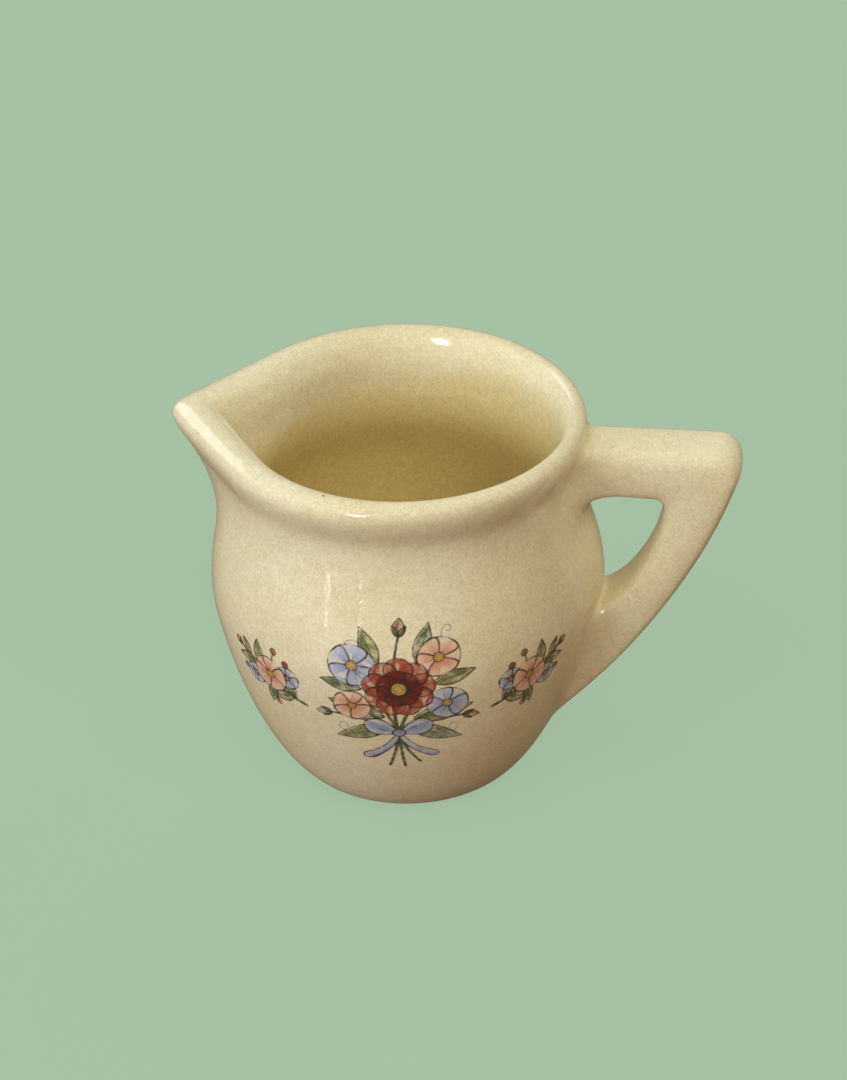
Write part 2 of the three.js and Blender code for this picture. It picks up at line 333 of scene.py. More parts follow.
# A joint is this many cells of the wall's grid high and wide, so its rim matches the bar's twenty points
jointCells = 5


# Slip radius round the section: inner face, then sides, then outer face
def filletRound(inner, side, outer):
    n = jointCells + 1
    low, high = np.linspace(inner, side, n)[1:-1], np.linspace(side, outer, n)[1:-1]
    rise = np.concatenate([low[1::2], high[0::2]])
    return np.concatenate([np.full(n, inner), rise, np.full(n, outer), rise[::-1]])


# Bearing and height on the wall of a ring of points, spread outwards by the slip
def spreadOnWall(points, fillet):
    bearing = np.arctan2(points[:, 1], -points[:, 0]) % (2 * math.pi)
    radius = wallRadius(points[:, 2])
    flat = np.stack([(bearing - math.pi) * radius, points[:, 2]], -1)
    edge = np.roll(flat, -1, 0) - np.roll(flat, 1, 0)
    outwards = np.stack([edge[:, 1], -edge[:, 0]], -1)
    outwards /= np.linalg.norm(outwards, axis=1)[:, None]
    middle = flat.mean(0)
    outwards *= np.sign(np.sum(outwards * (flat - middle), 1))[:, None]
    flat = flat + outwards * fillet[:, None]
    return math.pi + flat[:, 0] / radius, flat[:, 1]


# The grid positions round one joint, in the order of the bar's section
def holeLoop(lowRow, upsideDown):
    n = jointCells
    first = vessel["columns"] // 2 - n // 2
    columns = list(range(first, first + n + 1))
    rows = [lowRow + n - r if upsideDown else lowRow + r for r in range(n + 1)]
    loop = [(rows[0], c) for c in columns]
    loop += [(rows[r], columns[n]) for r in range(1, n)]
    loop += [(rows[n], c) for c in reversed(columns)]
    loop += [(rows[r], columns[0]) for r in range(n - 1, 0, -1)]
    return loop


# Eases the wall's grid so that it meets the joints at the wanted places
def easeGrid(bearing, height, pins):
    movedBearing = np.zeros_like(bearing)
    movedHeight = np.zeros_like(height)
    near = np.abs(bearing - math.pi) < vessel["easeReach"]
    for _ in range(vessel["easeRounds"]):
        for moved in (movedBearing, movedHeight):
            around = np.roll(moved, 1, 1) + np.roll(moved, -1, 1)
            upright = np.zeros_like(moved)
            upright[1:-1] = moved[2:] + moved[:-2]
            moved[1:-1] = np.where(near, (around + upright) / 4, 0)[1:-1]
        for (row, column), (wantedBearing, wantedHeight) in pins.items():
            movedBearing[row, column] = wantedBearing - bearing[row, column]
            movedHeight[row, column] = wantedHeight - height[row, column]
    return bearing + movedBearing, height + movedHeight


# For each joint, where the bar touches the wall, where its slip ends and the place in the grid
def findJoints(lines, strutRow, armRow):
    clearance = np.hypot(lines[..., 0], lines[..., 1]) - wallRadius(lines[..., 2])
    last = len(lines) - 1
    joints = {}
    for name, fillets, upsideDown, row in (
        ("upperJoint", handle["armFillets"], False, armRow),
        ("lowerJoint", handle["strutFillets"], True, strutRow),
    ):
        fillet = filletRound(*fillets)
        seen = clearance[::-1] if upsideDown else clearance
        touch = clearOfWall(seen, np.zeros(len(fillet)))
        clear = clearOfWall(seen, fillet)
        if upsideDown:
            touch, clear = last - touch, last - clear
        joints[name] = {
            "row": row,
            "touch": atSample(lines, touch),
            "clear": clear,
            "loop": holeLoop(row, upsideDown),
            "spread": spreadOnWall(atSample(lines, touch), fillet),
        }
    return joints


# The outside as a grid of points, with the ridge of slip that runs between the joints
def jugWall(bearing, heights, joints):
    pins = {}
    for joint in joints.values():
        pins.update(zip(joint["loop"], zip(*joint["spread"])))
    gridBearing, gridHeight = easeGrid(*np.meshgrid(bearing, heights), pins)
    wall = onVessel(gridBearing, wallRadius(gridHeight), gridHeight)
    low, high = handle["ridgeRows"]
    between = np.sin(math.pi * np.clip((gridHeight - low) / (high - low), 0, 1)) ** handle["ridgeEnds"]
    beside = np.exp(-((wall[..., 1] / handle["ridgeWidth"]) ** handle["ridgeSides"]))
    wall[..., 0] += np.where(wall[..., 0] > 0, handle["ridge"] * between * beside, 0)
    return wall


# Rings along the handle: slip at the neck, the bar itself, slip at the belly
def handleRings(lines, wall, upper, lower):
    h = handle
    startMean, endMean = upper["clear"].mean(), lower["clear"].mean()
    bar = []
    for w in np.linspace(0, 1, h["stations"]):
        sample = startMean + (endMean - startMean) * w
        sample = sample + (upper["clear"] - startMean) * (1 - w) ** h["settle"]
        sample = sample + (lower["clear"] - endMean) * w ** h["settle"]
        bar.append(atSample(lines, sample))

    def slipRings(joint, barEnd):
        wallEnd = np.array([wall[place] for place in joint["loop"]])
        steps = np.arange(1, h["slipSteps"]) / h["slipSteps"]
        return [drawnTo(wallEnd, joint["touch"], barEnd, t) for t in steps]

    return slipRings(upper, bar[0]) + bar + slipRings(lower, bar[-1])[::-1]


parts = {"body": 0, "handle": 1, "upperJoint": 2, "lowerJoint": 3}
capDepth = {"body": 0.3, "handle": 0.1, "upperJoint": -0.4, "lowerJoint": -0.4}  # of the hidden caps


# The whole jug as one control mesh of four-sided faces, each tagged with its part
def jugCage():
    v = vessel
    count = v["columns"]
    even = 2 * math.pi * np.arange(count) / count
    bearing = even - v["crowding"][0] * np.sin(even) - v["crowding"][1] * np.sin(2 * even)
    (strutLow, strutHigh), (armLow, armHigh) = v["strutRows"], v["armRows"]
    heights = np.concatenate([
        v["lowRows"],
        np.linspace(strutLow, strutHigh, jointCells + 1),
        np.linspace(strutHigh, armLow, jointCells + 2)[1:-1],
        np.linspace(armLow, armHigh, jointCells + 1),
    ])
    lines = barLines()
    joints = findJoints(lines, len(v["lowRows"]), len(heights) - jointCells - 1)
    wall = jugWall(bearing, heights, joints)

    foot, (edgeShare, edgeHeight) = v["footRadius"], v["footEdge"]
    base = [(foot * share, 0.0) for share in v["baseRows"]] + [(foot * edgeShare, edgeHeight)]
    hollow = [tuple(p) for p in insideLine(*v["insideSteps"])]
    floor = [(hollow[-1][0] * share, v["floor"]) for share in v["floorRows"]]
    rows = [onVessel(bearing, r, z) for r, z in base]
    firstWallRow = len(rows)
    rows += list(wall)
    rows += [onVessel(bearing, r, z) for r, z in hollow + floor]
    points = [tuple(p) for row in rows for p in row]

    def place(row, column):
        return row * count + column % count

    holes = set()
    for joint in joints.values():
        columns = sorted({c for _, c in joint["loop"]})[:-1]
        holes |= {(firstWallRow + joint["row"] + r, c) for r in range(jointCells) for c in columns}
    faces, tags = [], []
    for row in range(len(rows) - 1):
        for column in range(count):
            if (row, column) in holes:
                continue
            faces.append((
                place(row, column), place(row + 1, column),
                place(row + 1, column + 1), place(row, column + 1),
            ))
            tags.append(parts["body"])
    underside, innerFloor = len(points), len(points) + 1
    points += [(0, 0, 0), (0, 0, v["floor"])]
    top = len(rows) - 1
    for column in range(count):
        faces.append((underside, place(0, column), place(0, column + 1)))
        faces.append((innerFloor, place(top, column + 1), place(top, column)))
        tags += [parts["body"]] * 2

    upper, lower = joints["upperJoint"], joints["lowerJoint"]
    loops = [[place(firstWallRow + r, c) for r, c in upper["loop"]]]
    for ring in handleRings(lines, wall, upper, lower):
        loops.append(list(range(len(points), len(points) + len(ring))))
        points += [tuple(p) for p in ring]
    loops.append([place(firstWallRow + r, c) for r, c in lower["loop"]])
    for i, (near, far) in enumerate(zip(loops, loops[1:])):
        part = "handle"
        if i < handle["slipSteps"]:
            part = "upperJoint"
        if i >= len(loops) - 1 - handle["slipSteps"]:
            part = "lowerJoint"
        for k in range(len(near)):
            after = (k + 1) % len(near)
            faces.append((near[k], near[after], far[after], far[k]))
            tags.append(parts[part])
    return np.array(points), faces, tags


def unevenClay(points):
    size = vessel["unevenSize"]
    noise.seed_set(vessel["unevenSeed"])
    moved = points.copy()
    for i, p in enumerate(points):
        push = noise.noise_vector(Vector(p) / size) * vessel["unevenness"]
        moved[i] += (push.x, push.y, 0.0 if p[2] < vessel["flatBelow"] else push.z)
    return moved


# Smooths the control mesh and returns points, normals, faces and tags of the fine surface
def fineSurface(points, faces, tags, levels):
    mesh = bpy.data.meshes.new("jugCage")
    mesh.from_pydata([tuple(p * mm) for p in points], [], faces)
    used = bmesh.new()
    used.from_mesh(mesh)
    for face, tag in zip(used.faces, tags):
        face.material_index = tag
        face.smooth = True
    loose = [vert for vert in used.verts if not vert.link_faces]
    bmesh.ops.delete(used, geom=loose, context="VERTS")
    bmesh.ops.recalc_face_normals(used, faces=used.faces)
    used.to_mesh(mesh)
    used.free()
    cage = bpy.data.objects.new("jugCage", mesh)
    bpy.context.scene.collection.objects.link(cage)
    for name in parts:
        mesh.materials.append(None)
    smooth = cage.modifiers.new("smooth", "SUBSURF")
    smooth.levels = smooth.render_levels = levels
    fine = bpy.data.meshes.new_from_object(cage.evaluated_get(bpy.context.evaluated_depsgraph_get()))

    def values(items, name, width, kind):
        held = np.zeros(len(items) * width, kind)
        items.foreach_get(name, held)
        return held.reshape(-1, width)

    at, normals = (values(fine.vertices, name, 3, np.float32) for name in ("co", "normal"))
    corners = values(fine.loops, "vertex_index", 1, np.int32).reshape(-1, 4)
    fineTags = values(fine.polygons, "material_index", 1, np.int32)[:, 0]
    bpy.data.objects.remove(cage)
    bpy.data.meshes.remove(mesh)
    bpy.data.meshes.remove(fine)
    return at, normals, corners, fineTags


# Where the glaze is darkened with painted shade: inside the hollow and in corners, partly pooled glaze
# there; also where glaze runs thin over edges
glazeRunAndShade = {
    "facing": (0.0, 0.25),  # how squarely a place has to face the jug's axis to count as inside
    "floorBand": 2.0,
    "floorFacing": 0.3,
    "skin": 0.2,  # inside ends this far within the belly's radius
    "line": (60.5, 54.5),  # heights inside, between which the painted shade grows to a share of its full strength
    "shadeLineShare": 0.5,
    "below": (59.0, 44.0),  # and to the rest of it
    "shadeLineSlope": 0.15,  # the painted shade's top line runs up towards the handle
    "hollow": (0.04, 0.35),  # bend per millimetre, from level to a corner full of painted shade and pooled glaze
    "edge": (0.13, 0.42),  # and from level to an edge that the glaze has left
    # painted shade in corners, partly pooled glaze
    "cornerPoolAndShade": 0.22,
    "edgeShare": 0.12,
}


# How far the surface bends at each point, per millimetre: up over an edge, down in a hollow
def surfaceBend(at, normals, faces):
    bend = np.zeros(len(at))
    seen = np.zeros(len(at))
    for k in range(4):
        here, there = faces[:, k], faces[:, (k + 1) % 4]
        step = at[here] - at[there]
        reach = np.sum(step**2, 1)
        for own, way in ((here, step), (there, -step)):
            np.add.at(bend, own, 2 * np.sum(normals[own] * way, 1) / reach)
            np.add.at(seen, own, 1)
    return bend / seen * mm


# Painted shade deep inside and in corners, partly glaze pooled there; glaze run thin over sharp edges
def glazeAndShadeMarks(at, normals, faces):
    g = glazeRunAndShade
    outwards = at[:, :2] / np.maximum(np.linalg.norm(at[:, :2], axis=1), 1e-9)[:, None]
    height = at[:, 2] / mm
    inside = ease(-np.sum(normals[:, :2] * outwards, 1), *g["facing"])
    nearFloor = np.abs(height - vessel["floor"]) < g["floorBand"]
    inside = np.where(nearFloor & (normals[:, 2] > g["floorFacing"]), 1, inside)
    inside *= np.hypot(at[:, 0], at[:, 1]) < (vessel["bellyRadius"] - g["skin"]) * mm
    # Painted shade inside the hollow, from a line down to full darkness
    level = height - g["shadeLineSlope"] * at[:, 0] / mm
    first, rest = (ease(-level, -high, -low) for high, low in (g["line"], g["below"]))
    deep = inside * (rest + (first - rest) * g["shadeLineShare"])
    bend = surfaceBend(at, normals, faces)
    # Painted shade in hollow corners, partly glaze pooled there
    corner = ease(-bend, *g["hollow"]) * g["cornerPoolAndShade"]
    thin = ease(bend, *g["edge"]) * g["edgeShare"]
    # deep carries the painted shade inside and in corners; thin is glaze run thin over edges
    return {"deep": np.maximum(deep, corner), "thin": thin}


def makePiece(name, points, faces, cornerNormals):
    mesh = bpy.data.meshes.new(name)
    mesh.from_pydata(points, [], faces)
    mesh.polygons.foreach_set("use_smooth", [True] * len(faces))
    mesh.normals_split_custom_set(cornerNormals)
    piece = bpy.data.objects.new(name, mesh)
    bpy.context.scene.collection.objects.link(piece)
    return piece


# Open edges of a set of faces, chained into closed loops
def openLoops(faces):
    ahead = {}
    edges = {(f[i], f[(i + 1) % 4]) for f in faces for i in range(4)}
    for a, b in edges:
        if (b, a) not in edges:
            ahead[a] = b
    loops = []
    while ahead:
        start = min(ahead)
        loop = [start]
        step = ahead.pop(start)
        while step != start:
            loop.append(step)
            step = ahead.pop(step)
        loops.append(loop)
    return loops


# One part cut out of the joined surface. It keeps the joined surface's shading, and hidden caps close it.
def cutOut(name, part, surface, marks):
    at, normals, faces, tags = surface
    own = faces[tags == parts[part]]
    used = np.unique(own)
    new = np.full(len(at), -1)
    new[used] = np.arange(len(used))
    points = [tuple(p) for p in at[used]]
    ownFaces = [tuple(f) for f in new[own]]
    cornerNormals = [tuple(n) for n in normals[own.reshape(-1)]]
    for loop in openLoops(ownFaces):
        ring = np.array([points[i] for i in loop])
        area = np.cross(ring - ring.mean(0), np.roll(ring, -1, 0) - ring.mean(0)).sum(0)
        facing = -area / np.linalg.norm(area)
        centre = len(points)
        points.append(tuple(ring.mean(0) - facing * capDepth[part] * mm))
        for a, b in zip(loop, loop[1:] + loop[:1]):
            ownFaces.append((b, a, centre))
            cornerNormals += [tuple(facing)] * 3
    piece = makePiece(name, points, ownFaces, cornerNormals)
    for mark, values in marks.items():
        held = np.zeros(len(points), np.float32)
        held[:len(used)] = values[used]
        piece.data.attributes.new(mark, "FLOAT", "POINT").data.foreach_set("value", held)
    return piece


points, faces, tags = jugCage()
surface = fineSurface(unevenClay(points), faces, tags, vessel["smoothing"])
# Painted shade inside and in corners, and thin glaze over edges, as marks on the surface
marks = glazeAndShadeMarks(*surface[:3])
body = cutOut("body_glazed", "body", surface, marks)
bar = cutOut("handle_glazed", "handle", surface, marks)
upperJoint = cutOut("upper_slip_joint", "upperJoint", surface, marks)
lowerJoint = cutOut("lower_slip_joint", "lowerJoint", surface, marks)
print("jug cast:", len(surface[2]), "faces")

for piece, node, slot in (
    (body, "body", "glazed_body"),
    (bar, "handle", "glazed_handle"),
    (upperJoint, "upper_luting", "glazed_slip"),
    (lowerJoint, "lower_luting", "glazed_slip"),
):
    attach(piece, "root")
    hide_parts(node)


def srgb(red, green, blue):
    shares = (c / 255 for c in (red, green, blue))
    return tuple(((c + 0.055) / 1.055) ** 2.4 if c > 0.04045 else c / 12.92 for c in shares) + (1.0,)


# Cream clear glaze over pale earthenware. Sizes and heights in millimetres
glaze = {
    "cream": srgb(231, 223, 190),
    "cloud": srgb(225, 214, 175),  # where it lies a little thicker
    "deep": srgb(218, 198, 134),  # painted shade inside and in corners, with the olive of pooled glaze
    "thin": srgb(190, 150, 108),  # over sharp edges
    "speck": srgb(88, 62, 40),
    "biscuit": srgb(206, 184, 148),  # the dry foot
    "cloudSize": 15.0,
    "cloudSpan": (0.35, 0.7),  # values of the noise from none to all
    "noiseSpan": (0.3, 0.7),
    "grainSize": 0.42,
    "grain": ((0.90, 0.88, 0.83, 1), (1.08, 1.08, 1.09, 1)),  # darkest and lightest, times the glaze
    "mottleSize": 1.5,
    "mottle": ((0.95, 0.94, 0.91, 1), (1.03, 1.03, 1.04, 1)),
    "speckSpacing": 7.0,
    "speckSize": 0.5,
    "pitSpacing": 3.4,
    "pitSize": 0.2,
    "spotRarity": 3.0,  # how few specks and pits reach their full size
    "spotCore": 0.6,
    "pitDepth": 0.05,
    "roughness": (0.04, 0.11),
    "roughSize": 4.0,
    "peelSize": 1.7,  # the skin's soft dimples
    "peelDetail": 1.0,
    "peelDepth": 0.03,
    "sandSize": 0.4,
    "sandDepth": 0.010,
    "footRows": (0.35, 0.7),  # heights between which the glaze starts
    "footRoughness": 0.85,
}


def addNode(tree, kind, sockets=None, **settings):
    node = tree.nodes.new("ShaderNode" + kind)
    for name, value in settings.items():
        setattr(node, name, value)
    for name, value in (sockets or {}).items():
        if isinstance(value, bpy.types.NodeSocket):
            tree.links.new(value, node.inputs[name])
        else:
            node.inputs[name].default_value = value
    return node


# Inputs 6 and 7 of the Mix node are its colours, and output 2 the mixed one
def mixColours(tree, share, first, second):
    return addNode(tree, "Mix", {0: share, 6: first, 7: second}, data_type="RGBA").outputs[2]


def mapped(tree, value, span, onto=(0.0, 1.0)):
    limits = dict(zip(("From Min", "From Max", "To Min", "To Max"), (*span, *onto)))
    return addNode(tree, "MapRange", {"Value": value, **limits}).outputs[0]


def noiseShare(tree, place, size, span, detail=2.0):
    cloud = addNode(tree, "TexNoise", {"Vector": place, "Scale": 1 / (size * mm), "Detail": detail})
    return mapped(tree, cloud.outputs["Fac"], span)


def calculated(tree, operation, first, second):
    return addNode(tree, "Math", {0: first, 1: second}, operation=operation).outputs[0]


# Small round spots, one in each cell, of all sizes up to the given one
def spots(tree, place, spacing, size):
    cells = addNode(tree, "TexVoronoi", {"Vector": place, "Scale": 1 / (spacing * mm)})
    pick = addNode(tree, "SeparateColor", {"Color": cells.outputs["Color"]})
    small = calculated(tree, "POWER", pick.outputs[0], glaze["spotRarity"])
    reach = calculated(tree, "DIVIDE", cells.outputs["Distance"], small)
    radius = size / 2 / spacing
    return mapped(tree, reach, (glaze["spotCore"] * radius, radius), (1.0, 0.0))


def mark(tree, name):
    return addNode(tree, "Attribute", attribute_name=name)


def makeGlaze(name, inked=False, dryFoot=False):
    g = glaze
    material = bpy.data.materials.new(name)
    material.use_nodes = True
    tree = material.node_tree
    shader = tree.nodes["Principled BSDF"]
    place = addNode(tree, "TexCoord").outputs["Object"]

    clouds = noiseShare(tree, place, g["cloudSize"], g["cloudSpan"])
    colour = mixColours(tree, clouds, g["cream"], g["cloud"])
    # Painted shade inside the hollow and in corners, partly pooled glaze
    colour = mixColours(tree, mark(tree, "deep").outputs["Fac"], colour, g["deep"])
    colour = mixColours(tree, mark(tree, "thin").outputs["Fac"], colour, g["thin"])
    if dryFoot:
        above = addNode(tree, "SeparateXYZ", {"Vector": place}).outputs["Z"]
        foot = mapped(tree, above, [row * mm for row in g["footRows"]], (1.0, 0.0))
        colour = mixColours(tree, foot, colour, g["biscuit"])
    for size, (dark, light) in ((g["grainSize"], g["grain"]), (g["mottleSize"], g["mottle"])):
        shade = mixColours(tree, noiseShare(tree, place, size, g["noiseSpan"]), dark, light)
        colour = addNode(tree, "VectorMath", {0: colour, 1: shade}, operation="MULTIPLY").outputs[0]
    if inked:
        ink = mark(tree, "ink")
        colour = mixColours(tree, ink.outputs["Alpha"], colour, ink.outputs["Color"])
    colour = mixColours(tree, spots(tree, place, g["speckSpacing"], g["speckSize"]), colour, g["speck"])

    whole = (0.0, 1.0)
    rough = mapped(tree, noiseShare(tree, place, g["roughSize"], g["noiseSpan"]), whole, g["roughness"])
    if dryFoot:
        rough = mapped(tree, foot, whole, (rough, g["footRoughness"]))

    peel = noiseShare(tree, place, g["peelSize"], whole, g["peelDetail"])
    sand = noiseShare(tree, place, g["sandSize"], whole)
    pits = spots(tree, place, g["pitSpacing"], g["pitSize"])
    skin = None
    for height, depth, sunk in ((peel, g["peelDepth"], False), (sand, g["sandDepth"], False),
                                (pits, g["pitDepth"], True)):
        under = {} if skin is None else {"Normal": skin}
        bump = {"Height": height, "Distance": depth * mm, "Strength": 1.0, **under}
        skin = addNode(tree, "Bump", bump, invert=sunk).outputs[0]

    tree.links.new(colour, shader.inputs["Base Color"])
    tree.links.new(rough, shader.inputs["Roughness"])
    tree.links.new(skin, shader.inputs["Normal"])
    return material


bodyGlaze = makeGlaze("bodyGlaze", dryFoot=True)
plainGlaze = makeGlaze("plainGlaze")
printGlaze = makeGlaze("printGlaze", inked=True)
body.data.materials.append(bodyGlaze)
for piece in (bar, upperJoint, lowerJoint):
    piece.data.materials.append(plainGlaze)
print("glazed: body, handle and joints")


inks = {
    "line": srgb(62, 40, 34),
    "maroon": srgb(108, 36, 32),
    "brick": srgb(160, 70, 50),
    "salmon": srgb(208, 146, 118),
    "blush": srgb(228, 190, 160),
    "blue": srgb(146, 155, 184),
    "paleBlue": srgb(184, 190, 206),
    "mist": srgb(156, 164, 156),
    "green": srgb(86, 112, 70),
    "darkGreen": srgb(58, 78, 50),
    "olive": srgb(126, 126, 70),
    "ochre": srgb(206, 168, 88),
}

# Printed films on the belly, in millimetres
films = {
    "bearing": 7.0,  # degrees from the jug's side towards the handle
    "height": 30.0,
    "cell": 0.145,
    "lift": 0.02,
    "sink": 0.05,
    "tuckedRows": 2,  # rows round the edge that dip into the glaze
    "bleed": 0.07,  # softness of an ink's edge
    "offRegister": (0.13, -0.08),  # colours sit this far off the drawn lines
    "line": 0.24,
    "wash": (0.62, 0.97),  # thin and full cover of a colour
    "washSize": 0.9,
    "washSpan": (0.15, 0.75),
    "dotSize": 0.22,
    "dotShare": 0.3,
    "press": (0.78, 0.22),  # least cover of a drawn line, and what is added where it took well
    "pressSize": 0.5,
    "pressSpan": (0.2, 0.6),
    "seeds": (3, 4, 5),
    "tableSide": 64,
    "castFrom": 0.1,  # metres from the jug's axis at which a film starts towards the wall
    "bluntTip": 0.985,
}

# How things are drawn, in units of a layout
pen = {
    "leaf": (0.85, 1.0),  # form of leaf, petal and bud: where it is widest, and how blunt its ends are
    "sideShade": (-0.3, 0.5, 0.55),  # from one side to the other, and how dark
    "rootShade": (0.5, 0.0, 0.2),
    "rib": 0.16,
    "ribSpan": (0.0, 0.92),
    "veins": 6,
    "veinSlant": 0.8,
    "vein": 0.06,
    "veinSpan": (0.1, 0.85),
    "veinInset": 0.15,
    "petal": (1.5, 0.6),
    "petals": 5,
    "petalWidth": 2.3,  # in shares of its radius, so that neighbours overlap
    "petalShade": (-0.85, -0.2),
    "fold": 0.08,
    "foldSpan": (0.25, 0.62),
    "foldPlace": 0.4,  # share of the half width
    "foldScale": 0.3,
    "bud": (0.8, 0.75),
    "budWidth": 0.62,
    "budShade": (-0.2, 0.9),
    "budFold": 0.07,
    "budLean": 0.3,
    "sepals": (32, 0.7, 0.26),  # angle, and length and width in shares of the bud's length
    "stem": 0.42,
    "stemTaper": 0.7,
    "stemLine": 0.2,
    "stemOverlap": 0.05,
    "heartLine": 0.18,
    "dotRing": 0.62,
    "dot": 0.2,
    "strokeReach": 3,
    "steepest": 3,
    "far": 9.0,  # stands for no line near by
}


# Soft blotches from 0 to 1, the same on every run
def blotches(u, v, size, seed):
    side = films["tableSide"]
    table = np.random.default_rng(seed).random((side, side))
    x, y = u / size % (side - 2), v / size % (side - 2)
    i, j = x.astype(int), y.astype(int)
    x, y = ease(x - i, 0, 1), ease(y - j, 0, 1)
    low = table[i, j] * (1 - x) + table[i + 1, j] * x
    high = table[i, j + 1] * (1 - x) + table[i + 1, j + 1] * x
    return low * (1 - y) + high * y


def newSheet(u, v):
    f = films
    sizes = (f["washSize"], f["dotSize"], f["pressSize"])
    patches, dots, press = (blotches(u, v, size, seed) for size, seed in zip(sizes, f["seeds"]))
    patches = (1 - f["dotShare"]) * patches + f["dotShare"] * dots
    thin, full = f["wash"]
    return {
        "u": u,
        "v": v,
        "wash": thin + (full - thin) * ease(patches, *f["washSpan"]),
        "press": f["press"][0] + f["press"][1] * ease(press, *f["pressSpan"]),
        "colour": np.tile(np.array(glaze["cream"][:3]), (len(u), 1)),
        "cover": np.zeros(len(u)),
    }


def lay(sheet, cover, ink):
    share = cover[:, None]
    sheet["colour"] = sheet["colour"] * (1 - share) + np.asarray(ink)[..., :3] * share
    sheet["cover"] = 1 - (1 - sheet["cover"]) * (1 - cover)


def wash(sheet, distance, ink):
    lay(sheet, (1 - ease(distance, -films["bleed"], films["bleed"])) * sheet["wash"], ink)


def draw(sheet, distance, width, ink="line"):
    edge = np.abs(distance) - width / 2
    lay(sheet, (1 - ease(edge, -films["bleed"], films["bleed"])) * sheet["press"], inks[ink])


def blend(first, second, share):
    return np.array(inks[first]) * (1 - share[:, None]) + np.array(inks[second]) * share[:, None]


# Distance outside a petal or leaf, with the places along and across it
def petal(sheet, root, angle, length, width, fullness, point, moved=(0.0, 0.0)):
    turn = math.radians(angle)
    u, v = sheet["u"] - root[0] - moved[0], sheet["v"] - root[1] - moved[1]
    along = (u * math.cos(turn) + v * math.sin(turn)) / length
    across = v * math.cos(turn) - u * math.sin(turn)

    def halfWidth(share):
        return width / 2 * np.sin(math.pi * np.clip(share, 1e-4, 1 - 1e-4) ** fullness) ** point

    half, nudge = halfWidth(along), 0.02
    slope = (halfWidth(along + nudge) - halfWidth(along - nudge)) / (2 * nudge * length)
    slope = np.clip(slope, -pen["steepest"], pen["steepest"])
    distance = (np.abs(across) - half) / np.sqrt(1 + slope**2)
    beyond = np.maximum(np.maximum(-along, along - 1), 0) * length
    return np.where(beyond > 0, np.hypot(beyond, across), distance), along, across / np.maximum(half, 0.05)


# Distance outside a tapering line through some points
def stroke(sheet, points, start, end):
    best = np.full(len(sheet["u"]), pen["far"])
    for i, (a, b) in enumerate(zip(points, points[1:])):
        way = b - a
        u, v = sheet["u"] - a[0], sheet["v"] - a[1]
        near = np.nonzero(np.hypot(u, v) < pen["strokeReach"])[0]
        share = np.clip((u[near] * way[0] + v[near] * way[1]) / (way @ way), 0, 1)
        width = start + (end - start) * (i + share) / (len(points) - 1)
        reach = np.hypot(u[near] - share * way[0], v[near] - share * way[1]) - width / 2
        best[near] = np.minimum(best[near], reach)
    return best


def arched(start, end, bow, steps=10):
    start, end = np.array(start, float), np.array(end, float)
    return drawnTo(start, bowed(start, end, bow), end, np.linspace(0, 1, steps + 1)[:, None])


# A line that curls up more and more
def curling(start, angle, length, curl, steps=22):
    t = np.linspace(0, 1, steps)
    turn = math.radians(angle) + math.radians(curl) * t**2
    way = np.stack([np.cos(turn), np.sin(turn)], -1) * length / steps
    return np.array(start, float) + np.vstack([[0, 0], np.cumsum(way, 0)])


def stem(sheet, start, end, bow, width=pen["stem"]):
    line = stroke(sheet, arched(start, end, bow), width, width * pen["stemTaper"])
    draw(sheet, np.maximum(line, 0), pen["stemLine"])
    wash(sheet, line + pen["stemOverlap"], inks["green"])


# Keeps a line to a stretch of its petal
def onStretch(line, along, stretch):
    return np.where((along > stretch[0]) & (along < stretch[1]), line, pen["far"])


def reachFrom(sheet, u, v):
    return np.hypot(sheet["u"] - u, sheet["v"] - v)


def leaf(sheet, root, angle, length, width, ink):
    shape = (sheet, root, angle, length, width, *pen["leaf"])
    distance, along, across = petal(*shape, films["offRegister"])
    (light, dark, side), (tip, base, deep) = pen["sideShade"], pen["rootShade"]
    shade = ease(across, light, dark) * side + deep * ease(along, tip, base)
    wash(sheet, distance, blend(ink, "darkGreen", shade))
    distance, along, across = petal(*shape)
    draw(sheet, onStretch(np.abs(across) * width / 2, along, pen["ribSpan"]), pen["rib"], "darkGreen")
    veins = along * pen["veins"] + np.abs(across) * pen["veinSlant"]
    veins = np.abs(veins % 1 - 0.5) * length / pen["veins"]
    veins = np.where(distance < -pen["veinInset"], veins, pen["far"])
    draw(sheet, onStretch(veins, along, pen["veinSpan"]), pen["vein"], "darkGreen")
    draw(sheet, distance, films["line"])


def ringOfPetals(sheet, centre, radius, count, turn, outer, inner, wide=1.0):
    width = wide * pen["petalWidth"] * radius * math.sin(math.pi / count)
    for k in range(count):
        shape = (sheet, centre, turn + 360 * k / count, radius, width, *pen["petal"])
        distance, along, _ = petal(*shape, films["offRegister"])
        wash(sheet, distance, blend(outer, inner, ease(-along, *pen["petalShade"])))
        distance, along, across = petal(*shape)
        folds = np.abs(np.abs(across) - pen["foldPlace"]) * radius * pen["foldScale"]
        draw(sheet, onStretch(folds, along, pen["foldSpan"]), pen["fold"], inner)
        draw(sheet, distance, films["line"])


def heart(sheet, centre, radius, dots):
    edge = reachFrom(sheet, *centre) - radius
    wash(sheet, edge, inks["ochre"])
    draw(sheet, edge, pen["heartLine"])
    for k in range(dots):
        turn, out = 2 * math.pi * k / dots, pen["dotRing"] * radius
        dot = reachFrom(sheet, centre[0] + out * math.cos(turn), centre[1] + out * math.sin(turn))
        draw(sheet, dot, pen["dot"], "maroon")


def flower(sheet, u, v, radius, turn, outer, inner, wide, heartRadius, dots):
    ringOfPetals(sheet, (u, v), radius, pen["petals"], turn, outer, inner, wide)
    heart(sheet, (u, v), heartRadius, dots)


